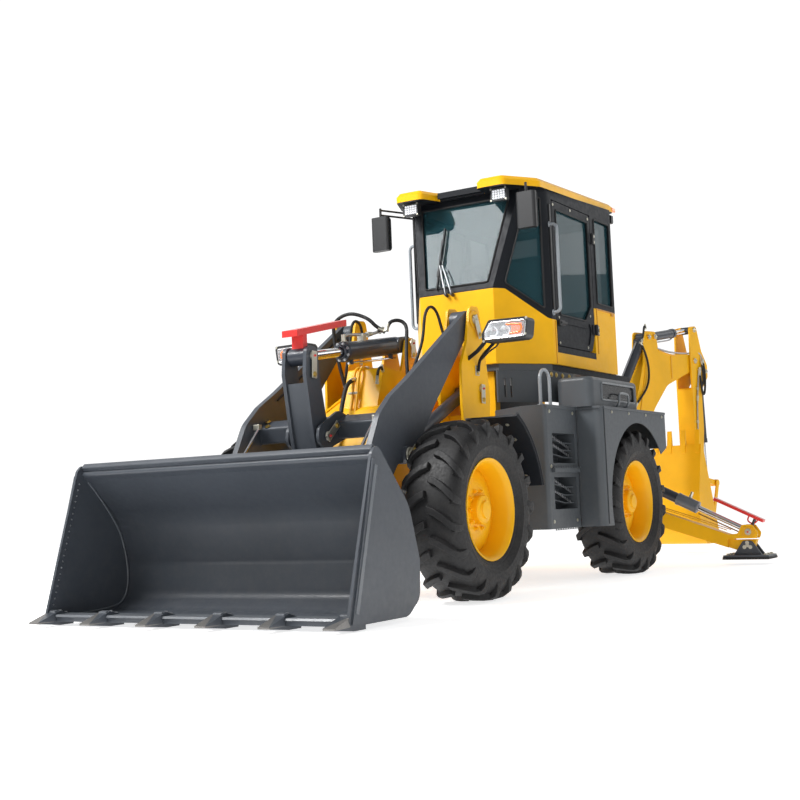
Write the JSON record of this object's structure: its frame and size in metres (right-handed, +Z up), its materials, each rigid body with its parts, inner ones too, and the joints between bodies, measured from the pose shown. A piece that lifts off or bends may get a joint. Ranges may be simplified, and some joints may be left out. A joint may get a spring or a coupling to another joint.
{
  "type": "articulated backhoe loader",
  "caption": "Articulated wheeled loader with a wide front bucket on lift arms, a cab, stabilizer legs and a slewing rear digging arm.",
  "frame": {"origin": "on the ground, under the middle of the machine's length, on its centre line", "axes": "+X forward to the loader bucket, +Y to the left, +Z up"},
  "size_m": [8.451, 3.4, 3.2542],
  "materials": {
    "yellow_paint": "satin",
    "grey_paint": "satin",
    "black_paint": "satin",
    "slate_paint": "satin",
    "cylinder_paint": "satin",
    "chromed_rod": "polished",
    "window_glass": "polished",
    "lamp_housing": "gloss",
    "tyre_rubber": "matte",
    "rim_paint": "satin"
  },
  "bodies": {
    "rear": {"rear_frame": "yellow_paint", "engine": "grey_paint", "rear_axle": "grey_paint", "side_boxes": "grey_paint", "cab_shell": "yellow_paint", "cab_frame": "black_paint", "cab_roof": "yellow_paint", "cab_glass": "window_glass", "cab_interior": "grey_paint", "work_lamps": "lamp_housing", "rails_and_mirrors": "black_paint"},
    "front": {"front_frame": "yellow_paint", "front_axle": "grey_paint", "front_fenders": "grey_paint", "headlamps": "lamp_housing"},
    "arm": {"lift_arm": "slate_paint"},
    "bucket": {"loader_bucket": "slate_paint"},
    "rocker": {"rocker": "slate_paint"},
    "link": {"bucket_link": "slate_paint"},
    "tilt_barrel": {"tilt_cylinder_barrel": "cylinder_paint"},
    "tilt_rod": {"tilt_cylinder_rod": "chromed_rod"},
    "lift_barrels": {"lift_cylinder_barrels": "cylinder_paint"},
    "lift_rods": {"lift_cylinder_rods": "chromed_rod"},
    "post": {"swing_post": "yellow_paint"},
    "boom": {"boom": "yellow_paint"},
    "boom_barrel": {"boom_cylinder_barrel": "cylinder_paint"},
    "boom_rod": {"boom_cylinder_rod": "chromed_rod"},
    "dipper": {"dipper": "yellow_paint"},
    "dipper_barrel": {"dipper_cylinder_barrel": "cylinder_paint"},
    "dipper_rod": {"dipper_cylinder_rod": "chromed_rod"},
    "crowd_barrel": {"crowd_cylinder_barrel": "cylinder_paint"},
    "crowd_rod": {"crowd_cylinder_rod": "chromed_rod"},
    "idler": {"idler_links": "yellow_paint"},
    "tipping_link": {"tipping_link": "yellow_paint"},
    "digging_bucket": {"digging_bucket": "yellow_paint"},
    "wheel_front_left": {"tyre_front_left": "tyre_rubber", "rim_front_left": "rim_paint"},
    "wheel_front_right": {"tyre_front_right": "tyre_rubber", "rim_front_right": "rim_paint"},
    "wheel_rear_left": {"tyre_rear_left": "tyre_rubber", "rim_rear_left": "rim_paint"},
    "wheel_rear_right": {"tyre_rear_right": "tyre_rubber", "rim_rear_right": "rim_paint"},
    "steering_barrel_left": {"steering_barrel_left": "cylinder_paint"},
    "steering_rod_left": {"steering_rod_left": "chromed_rod"},
    "door_left": {"door_left": "black_paint", "door_left_glass": "window_glass"},
    "leg_left": {"stabilizer_leg_left": "yellow_paint"},
    "leg_barrel_left": {"stabilizer_barrel_left": "cylinder_paint"},
    "leg_rod_left": {"stabilizer_rod_left": "chromed_rod"},
    "foot_left": {"stabilizer_foot_left": "black_paint"},
    "steering_barrel_right": {"steering_barrel_right": "cylinder_paint"},
    "steering_rod_right": {"steering_rod_right": "chromed_rod"},
    "door_right": {"door_right": "black_paint", "door_right_glass": "window_glass"},
    "leg_right": {"stabilizer_leg_right": "yellow_paint"},
    "leg_barrel_right": {"stabilizer_barrel_right": "cylinder_paint"},
    "leg_rod_right": {"stabilizer_rod_right": "chromed_rod"},
    "foot_right": {"stabilizer_foot_right": "black_paint"}
  },
  "joints": [
    {"name": "steering", "type": "hinge", "parent": "rear", "child": "front", "pos_m": [0.91051, 0, 0.76], "axis": [0, 0, 1], "range_deg": [-33, 33]},
    {"name": "front_left_wheel", "type": "hinge", "parent": "front", "child": "wheel_front_left", "pos_m": [2.21051, 0.805, 0.59], "axis": [0, 1, 0], "continuous": true},
    {"name": "front_right_wheel", "type": "hinge", "parent": "front", "child": "wheel_front_right", "pos_m": [2.21051, -0.805, 0.59], "axis": [0, 1, 0], "continuous": true},
    {"name": "rear_left_wheel", "type": "hinge", "parent": "rear", "child": "wheel_rear_left", "pos_m": [-0.38949, 0.805, 0.59], "axis": [0, 1, 0], "continuous": true},
    {"name": "rear_right_wheel", "type": "hinge", "parent": "rear", "child": "wheel_rear_right", "pos_m": [-0.38949, -0.805, 0.59], "axis": [0, 1, 0], "continuous": true},
    {"name": "arm_lift", "type": "hinge", "parent": "front", "child": "arm", "pos_m": [1.61051, 0, 1.93], "axis": [0, -1, 0], "range_deg": [0, 80]},
    {"name": "bucket_tilt", "type": "hinge", "parent": "arm", "child": "bucket", "pos_m": [3.23051, 0, 0.27], "axis": [0, 1, 0], "range_deg": [-35, 100]},
    {"name": "rocker_turn", "type": "hinge", "parent": "arm", "child": "rocker", "pos_m": [2.84051, 0, 1.1], "axis": [0, -1, 0], "range_deg": [-9.53, 25.37]},
    {"name": "link_turn", "type": "hinge", "parent": "bucket", "child": "link", "pos_m": [3.35551, 0, 0.473], "axis": [0, 1, 0], "range_deg": [-70.5, 25.32]},
    {"name": "tilt_barrel_turn", "type": "hinge", "parent": "front", "child": "tilt_barrel", "pos_m": [1.68051, 0, 1.8], "axis": [0, -1, 0], "range_deg": [-1, 81.94]},
    {"name": "tilt_rod_slide", "type": "slide", "parent": "tilt_barrel", "child": "tilt_rod", "axis": [0.9891, 0, -0.1476], "range_m": [-0.2234, 0.0814]},
    {"name": "lift_barrels_turn", "type": "hinge", "parent": "front", "child": "lift_barrels", "pos_m": [1.54051, 0, 1.44], "axis": [0, -1, 0], "range_deg": [-1, 75.92]},
    {"name": "lift_rods_slide", "type": "slide", "parent": "lift_barrels", "child": "lift_rods", "axis": [0.9048, 0, -0.4258], "range_m": [-0.005, 0.6466]},
    {"name": "steering_barrel_left_turn", "type": "hinge", "parent": "rear", "child": "steering_barrel_left", "pos_m": [0.47051, 0.345, 0.43], "axis": [0, 0, 1], "range_deg": [-17.67, 17.67]},
    {"name": "steering_rod_left_slide", "type": "slide", "parent": "steering_barrel_left", "child": "steering_rod_left", "axis": [0.9999, -0.0167, 0], "range_m": [-0.1978, 0.1978]},
    {"name": "door_left_open", "type": "hinge", "parent": "rear", "child": "door_left", "pos_m": [-0.50549, 0.634, 2.5], "axis": [0, 0, 1], "range_deg": [0, 90]},
    {"name": "steering_barrel_right_turn", "type": "hinge", "parent": "rear", "child": "steering_barrel_right", "pos_m": [0.47051, -0.345, 0.43], "axis": [0, 0, 1], "range_deg": [-17.67, 17.67]},
    {"name": "steering_rod_right_slide", "type": "slide", "parent": "steering_barrel_right", "child": "steering_rod_right", "axis": [0.9999, 0.0167, 0], "range_m": [-0.1978, 0.1978]},
    {"name": "door_right_open", "type": "hinge", "parent": "rear", "child": "door_right", "pos_m": [-0.50549, -0.634, 2.5], "axis": [0, 0, -1], "range_deg": [0, 90]},
    {"name": "backhoe_slew", "type": "hinge", "parent": "rear", "child": "post", "pos_m": [-1.94949, 0, 0.74], "axis": [0, 0, -1], "range_deg": [-98, 82]},
    {"name": "boom_lower", "type": "hinge", "parent": "post", "child": "boom", "pos_m": [-2.3654, 0.05845, 0.8], "axis": [-0.1392, -0.9903, 0], "range_deg": [0, 60]},
    {"name": "boom_barrel_turn", "type": "hinge", "parent": "boom", "child": "boom_barrel", "pos_m": [-2.90014, 0.13361, 2.25], "axis": [0.1392, 0.9903, 0], "range_deg": [-4.77, 1]},
    {"name": "boom_rod_slide", "type": "slide", "parent": "boom_barrel", "child": "boom_rod", "axis": [0.6408, -0.0901, -0.7624], "range_m": [-0.005, 0.6273]},
    {"name": "dipper_out", "type": "hinge", "parent": "boom", "child": "dipper", "pos_m": [-3.8607, 0.2686, 2.06], "axis": [0.1392, 0.9903, 0], "range_deg": [-15, 48]},
    {"name": "dipper_barrel_turn", "type": "hinge", "parent": "boom", "child": "dipper_barrel", "pos_m": [-3.02888, 0.1517, 2.262], "axis": [0.1392, 0.9903, 0], "range_deg": [-2.66, 1.52]},
    {"name": "dipper_rod_slide", "type": "slide", "parent": "dipper_barrel", "child": "dipper_rod", "axis": [-0.978, 0.1375, 0.1567], "range_m": [-0.2831, 0.0919]},
    {"name": "digging_bucket_open", "type": "hinge", "parent": "dipper", "child": "digging_bucket", "pos_m": [-3.8607, 0.2686, 0.45], "axis": [0.1392, 0.9903, 0], "range_deg": [0, 98]},
    {"name": "crowd_barrel_turn", "type": "hinge", "parent": "dipper", "child": "crowd_barrel", "pos_m": [-4.11322, 0.30409, 1.96], "axis": [0.1392, 0.9903, 0], "range_deg": [-6.78, 1]},
    {"name": "crowd_rod_slide", "type": "slide", "parent": "crowd_barrel", "child": "crowd_rod", "axis": [-0.0469, 0.0066, -0.9989], "range_m": [-0.3382, 0.005]},
    {"name": "idler_turn", "type": "hinge", "parent": "dipper", "child": "idler", "pos_m": [-3.87952, 0.27125, 0.779], "axis": [0.1392, 0.9903, 0], "range_deg": [-1, 72.08]},
    {"name": "tipping_link_turn", "type": "hinge", "parent": "digging_bucket", "child": "tipping_link", "pos_m": [-4.02014, 0.29101, 0.34], "axis": [0.1392, 0.9903, 0], "range_deg": [-85.02, 1]},
    {"name": "leg_left_raise", "type": "hinge", "parent": "rear", "child": "leg_left", "pos_m": [-1.59949, 0.48, 0.5], "axis": [1, 0, 0], "range_deg": [-2.5, 50]},
    {"name": "leg_barrel_left_turn", "type": "hinge", "parent": "rear", "child": "leg_barrel_left", "pos_m": [-1.59949, 0.43, 0.812], "axis": [1, 0, 0], "range_deg": [-3.29, 46.82]},
    {"name": "leg_rod_left_slide", "type": "slide", "parent": "leg_barrel_left", "child": "leg_rod_left", "axis": [0, 0.8985, -0.4389], "range_m": [-0.2619, 0.0178]},
    {"name": "foot_left_tilt", "type": "hinge", "parent": "leg_left", "child": "foot_left", "pos_m": [-1.59949, 1.5, 0.165], "axis": [1, 0, 0], "range_deg": [-15, 30]},
    {"name": "leg_right_raise", "type": "hinge", "parent": "rear", "child": "leg_right", "pos_m": [-1.59949, -0.48, 0.5], "axis": [-1, 0, 0], "range_deg": [-2.5, 50]},
    {"name": "leg_barrel_right_turn", "type": "hinge", "parent": "rear", "child": "leg_barrel_right", "pos_m": [-1.59949, -0.43, 0.812], "axis": [-1, 0, 0], "range_deg": [-3.29, 46.82]},
    {"name": "leg_rod_right_slide", "type": "slide", "parent": "leg_barrel_right", "child": "leg_rod_right", "axis": [0, -0.8985, -0.4389], "range_m": [-0.2619, 0.0178]},
    {"name": "foot_right_tilt", "type": "hinge", "parent": "leg_right", "child": "foot_right", "pos_m": [-1.59949, -1.5, 0.165], "axis": [-1, 0, 0], "range_deg": [-15, 30]}
  ],
  "couplings": [
    {"joint": "rocker_turn", "follows": "bucket_tilt", "ratio": 0.2437},
    {"joint": "link_turn", "follows": "bucket_tilt", "ratio": -0.69496},
    {"joint": "tilt_barrel_turn", "follows": "arm_lift", "ratio": 1.0117},
    {"joint": "tilt_rod_slide", "follows": "bucket_tilt", "m_per_rad": -0.12514},
    {"joint": "lift_barrels_turn", "follows": "arm_lift", "ratio": 0.93653},
    {"joint": "lift_rods_slide", "follows": "arm_lift", "m_per_rad": 0.45954},
    {"joint": "steering_barrel_left_turn", "follows": "steering", "ratio": 0.5051},
    {"joint": "steering_rod_left_slide", "follows": "steering", "m_per_rad": -0.33474},
    {"joint": "steering_barrel_right_turn", "follows": "steering", "ratio": 0.5051},
    {"joint": "steering_rod_right_slide", "follows": "steering", "m_per_rad": 0.33474},
    {"joint": "boom_barrel_turn", "follows": "boom_lower", "ratio": -0.062859},
    {"joint": "boom_rod_slide", "follows": "boom_lower", "m_per_rad": 0.59423},
    {"joint": "dipper_barrel_turn", "follows": "dipper_out", "ratio": -0.034561},
    {"joint": "dipper_rod_slide", "follows": "dipper_out", "m_per_rad": -0.332},
    {"joint": "crowd_barrel_turn", "follows": "digging_bucket_open", "ratio": -0.058955},
    {"joint": "crowd_rod_slide", "follows": "digging_bucket_open", "m_per_rad": -0.19483},
    {"joint": "idler_turn", "follows": "digging_bucket_open", "ratio": 0.72531},
    {"joint": "tipping_link_turn", "follows": "digging_bucket_open", "ratio": -0.8573},
    {"joint": "leg_barrel_left_turn", "follows": "leg_left_raise", "ratio": 0.91636},
    {"joint": "leg_rod_left_slide", "follows": "leg_left_raise", "m_per_rad": -0.29435},
    {"joint": "leg_barrel_right_turn", "follows": "leg_right_raise", "ratio": 0.91636},
    {"joint": "leg_rod_right_slide", "follows": "leg_right_raise", "m_per_rad": -0.29435}
  ]
}
